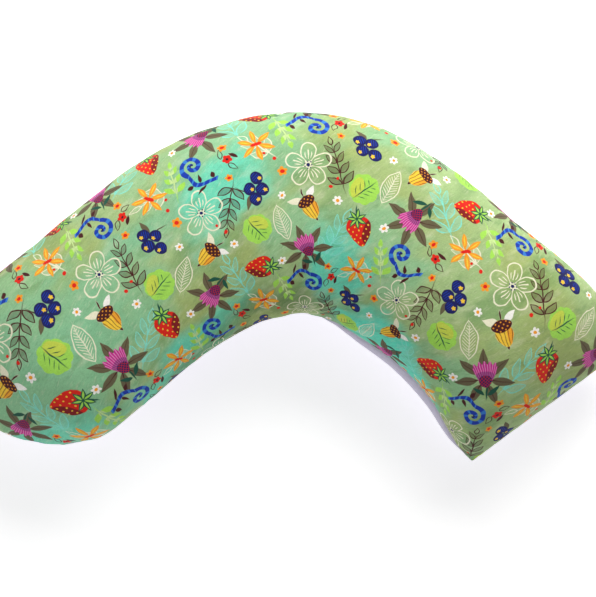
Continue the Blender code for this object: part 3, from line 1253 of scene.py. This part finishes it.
def cloth_place(tree):
    """Where a point lies on the flat cloth, in millimetres, before it was sewn, with a 1 as its Z."""
    flat = tree.nodes.new("ShaderNodeUVMap")
    flat.uv_map = UV_NAME
    sized = tree.nodes.new("ShaderNodeVectorMath")
    sized.operation = "MULTIPLY_ADD"
    tree.links.new(flat.outputs[0], sized.inputs[0])
    sized.inputs[1].default_value = (1 / MM, 1 / MM, 0)
    sized.inputs[2].default_value = (0, 0, 1)
    return sized.outputs[0]


def wobbled(tree, place):
    """A place moved a little at random, as a hand moves a drawn line."""
    noise = tree.nodes.new("ShaderNodeTexNoise")
    noise.noise_dimensions = "2D"
    noise.inputs["Scale"].default_value = 1 / WOBBLE_PITCH
    noise.inputs["Detail"].default_value = 1.5
    tree.links.new(place, noise.inputs["Vector"])
    moved = tree.nodes.new("ShaderNodeVectorMath")
    moved.operation = "MULTIPLY_ADD"
    tree.links.new(noise.outputs[1], moved.inputs[0])
    moved.inputs[1].default_value = (WOBBLE, WOBBLE, 0)
    tree.links.new(place, moved.inputs[2])
    return moved.outputs[0]


def print_colour(tree, inks, place):
    """The print: the painted ground with every motif of the layout over it."""
    ground = tree.nodes.new("ShaderNodeGroup")
    ground.node_tree = painted_ground(inks)
    tree.links.new(place, ground.inputs["Place"])
    colour = ground.outputs["Colour"]
    u, v = seen_from(tree, place, 0, 0)
    groups = {}
    for row in LAYOUT:
        motif = row[0]
        if motif not in groups:
            groups[motif] = drawn(motif, inks)
        at = spot(tree, u, v, row)
        node = tree.nodes.new("ShaderNodeGroup")
        node.node_tree = groups[motif]
        tree.links.new(at, node.inputs["Place"])
        colour = blend_colours(tree, node.outputs["Mask"], colour, node.outputs["Colour"])
    return colour


def new_cloth(name):
    """A matt cloth material, with its shader."""
    material = bpy.data.materials.new(name)
    material.use_nodes = True
    shader = material.node_tree.nodes["Principled BSDF"]
    shader.inputs["Metallic"].default_value = 0.0
    shader.inputs["Specular IOR Level"].default_value = 0.25
    shader.inputs["Sheen Weight"].default_value = 0.08
    shader.inputs["Sheen Roughness"].default_value = 0.55
    return material, shader


def finish_cloth(tree, shader, place, colour, pile_group, thread, pile, depth):
    """Gives the cloth its pile and its painted shade beside the seam, and joins all that to the shader."""
    node = tree.nodes.new("ShaderNodeGroup")
    node.node_tree = pile_group
    tree.links.new(place, node.inputs["Place"])
    node.inputs["Thread"].default_value = thread
    node.inputs["Pile"].default_value = pile
    near = tree.nodes.new("ShaderNodeAttribute")
    near.attribute_name = SEAM_MASK
    # painted shade beside the seam, times the nap's random tone
    shade = Field(tree, near.outputs["Fac"]).scaled(-SEAM_SHADE, 1.0) * Field(tree, node.outputs["Tone"])
    tone = tree.nodes.new("ShaderNodeHueSaturation")
    feed(tree, tone.inputs["Color"], colour)
    feed(tree, tone.inputs["Value"], shade)
    bump = tree.nodes.new("ShaderNodeBump")
    bump.inputs["Distance"].default_value = depth
    tree.links.new(node.outputs["Height"], bump.inputs["Height"])
    tree.links.new(tone.outputs["Color"], shader.inputs["Base Color"])
    tree.links.new(node.outputs["Roughness"], shader.inputs["Roughness"])
    tree.links.new(bump.outputs["Normal"], shader.inputs["Normal"])


def printed_cloth(inks, pile_group):
    """The front panel's cloth: soft brushed cotton with the garden print."""
    material, shader = new_cloth("printed_cloth")
    tree = material.node_tree
    place = cloth_place(tree)
    colour = print_colour(tree, inks, wobbled(tree, place))
    finish_cloth(tree, shader, place, colour, pile_group, thread=0.7, pile=1.3, depth=0.00030)
    return material


def plain_cloth(inks, pile_group):
    """The back panel's cloth: the same cotton, undyed and nearly white."""
    material, shader = new_cloth("plain_cloth")
    tree = material.node_tree
    place = cloth_place(tree)
    finish_cloth(tree, shader, place, colour_value(inks.back), pile_group, thread=0.7, pile=1.1, depth=0.00025)
    return material


class PILLOW_OT_cover(bpy.types.Operator):
    """Sew the two panels, fill them and finish the seam"""

    bl_idname = "v_pillow.cover"
    bl_label = "Pillow cover"
    bl_options = {"REGISTER", "UNDO"}

    def execute(self, context):
        shape = context.scene.pillow_shape
        cover = build_cover(shape)
        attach(cover, "root")
        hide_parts("pillow")
        return {"FINISHED"}


def lamp(name, place, aim, size, power, colour):
    """A large soft lamp at a place, turned to the point it lights."""
    data = bpy.data.lights.new(name, "AREA")
    data.shape = "RECTANGLE"
    data.size, data.size_y = size
    data.energy = power
    data.color = colour
    thing = bpy.data.objects.new(name, data)
    thing.location = place
    thing.rotation_euler = (Vector(aim) - Vector(place)).to_track_quat("-Z", "Y").to_euler()
    bpy.context.scene.collection.objects.link(thing)
    return thing


class PILLOW_OT_cloth(bpy.types.Operator):
    """Print the front panel and give the back its plain cloth"""

    bl_idname = "v_pillow.cloth"
    bl_label = "Pillow cloth"
    bl_options = {"REGISTER", "UNDO"}

    def execute(self, context):
        inks = context.scene.pillow_inks
        pile_group = brushed_pile()
        cover = bpy.data.objects["pillow_cover"]
        cover.data.materials.append(printed_cloth(inks, pile_group))
        cover.data.materials.append(plain_cloth(inks, pile_group))
        return {"FINISHED"}


class PILLOW_OT_stage(bpy.types.Operator):
    """Lay the floor, hang the lamps and set up the camera"""

    bl_idname = "v_pillow.stage"
    bl_label = "Stage"
    bl_options = {"REGISTER", "UNDO"}

    def execute(self, context):
        look = context.scene.pillow_stage
        scene = context.scene
        bm = bmesh.new()
        bmesh.ops.create_grid(bm, x_segments=1, y_segments=1, size=6)
        mesh = bpy.data.meshes.new("floor")
        bm.to_mesh(mesh)
        bm.free()
        floor = bpy.data.objects.new("floor", mesh)
        scene.collection.objects.link(floor)
        paint = bpy.data.materials.new("floor_paint")
        paint.use_nodes = True
        shader = paint.node_tree.nodes["Principled BSDF"]
        shader.inputs["Base Color"].default_value = (*look.floor_colour, 1)
        shader.inputs["Roughness"].default_value = 0.9
        shader.inputs["Emission Color"].default_value = (1, 1, 1, 1)
        shader.inputs["Emission Strength"].default_value = look.floor_glow
        mesh.materials.append(paint)
        world = bpy.data.worlds.new("studio")
        world.use_nodes = True
        world.node_tree.nodes["Background"].inputs["Color"].default_value = (1, 1, 1, 1)
        world.node_tree.nodes["Background"].inputs["Strength"].default_value = look.sky_strength
        scene.world = world
        scene.view_settings.view_transform = "Standard"
        lamp("key_lamp", (0.4, 1.5, 1.2), (0, 0, 0.05), (1.6, 1.0), look.key_power, (1.0, 0.98, 0.95))
        lamp("fill_lamp", (-1.1, -0.9, 1.3), (0, 0, 0.05), (1.6, 1.2), look.fill_power, (0.95, 0.98, 1.0))
        camera = bpy.data.objects.new("camera", bpy.data.cameras.new("camera"))
        scene.collection.objects.link(camera)
        camera.location = (look.picture_x, look.picture_y, look.camera_height)
        reach = look.camera_height - context.scene.pillow_shape.seam_height
        camera.data.sensor_fit = "HORIZONTAL"
        camera.data.angle = 2 * math.atan(look.picture_width / 2 / reach)
        camera.data.clip_start = 0.05
        scene.camera = camera
        return {"FINISHED"}


class PILLOW_PT_panel(bpy.types.Panel):
    """The pillow's sizes, its cloth and its stage"""

    bl_idname = "PILLOW_PT_panel"
    bl_label = "V shaped pillow"
    bl_space_type = "VIEW_3D"
    bl_region_type = "UI"
    bl_category = "Pillow"

    def draw(self, context):
        layout = self.layout
        for operator in (PILLOW_OT_cover, PILLOW_OT_cloth, PILLOW_OT_stage):
            layout.operator(operator.bl_idname)
        scene = context.scene
        for group in (scene.pillow_shape, scene.pillow_inks, scene.pillow_stage):
            box = layout.box()
            for name in group.__annotations__:
                box.prop(group, name)


CLASSES = (
    PillowShape,
    PrintInks,
    StageLook,
    PILLOW_OT_cover,
    PILLOW_OT_cloth,
    PILLOW_OT_stage,
    PILLOW_PT_panel,
)


def register():
    """Registers the classes and gives the scene its settings."""
    for cls in CLASSES:
        bpy.utils.register_class(cls)
    bpy.types.Scene.pillow_shape = bpy.props.PointerProperty(type=PillowShape)
    bpy.types.Scene.pillow_inks = bpy.props.PointerProperty(type=PrintInks)
    bpy.types.Scene.pillow_stage = bpy.props.PointerProperty(type=StageLook)


def unregister():
    """Takes the settings and the classes away again."""
    del bpy.types.Scene.pillow_stage
    del bpy.types.Scene.pillow_inks
    del bpy.types.Scene.pillow_shape
    for cls in reversed(CLASSES):
        bpy.utils.unregister_class(cls)


def main():
    """Makes the pillow and its stage."""
    register()
    bpy.ops.v_pillow.cover()
    bpy.ops.v_pillow.cloth()
    bpy.ops.v_pillow.stage()


if __name__ == "__main__":
    main()
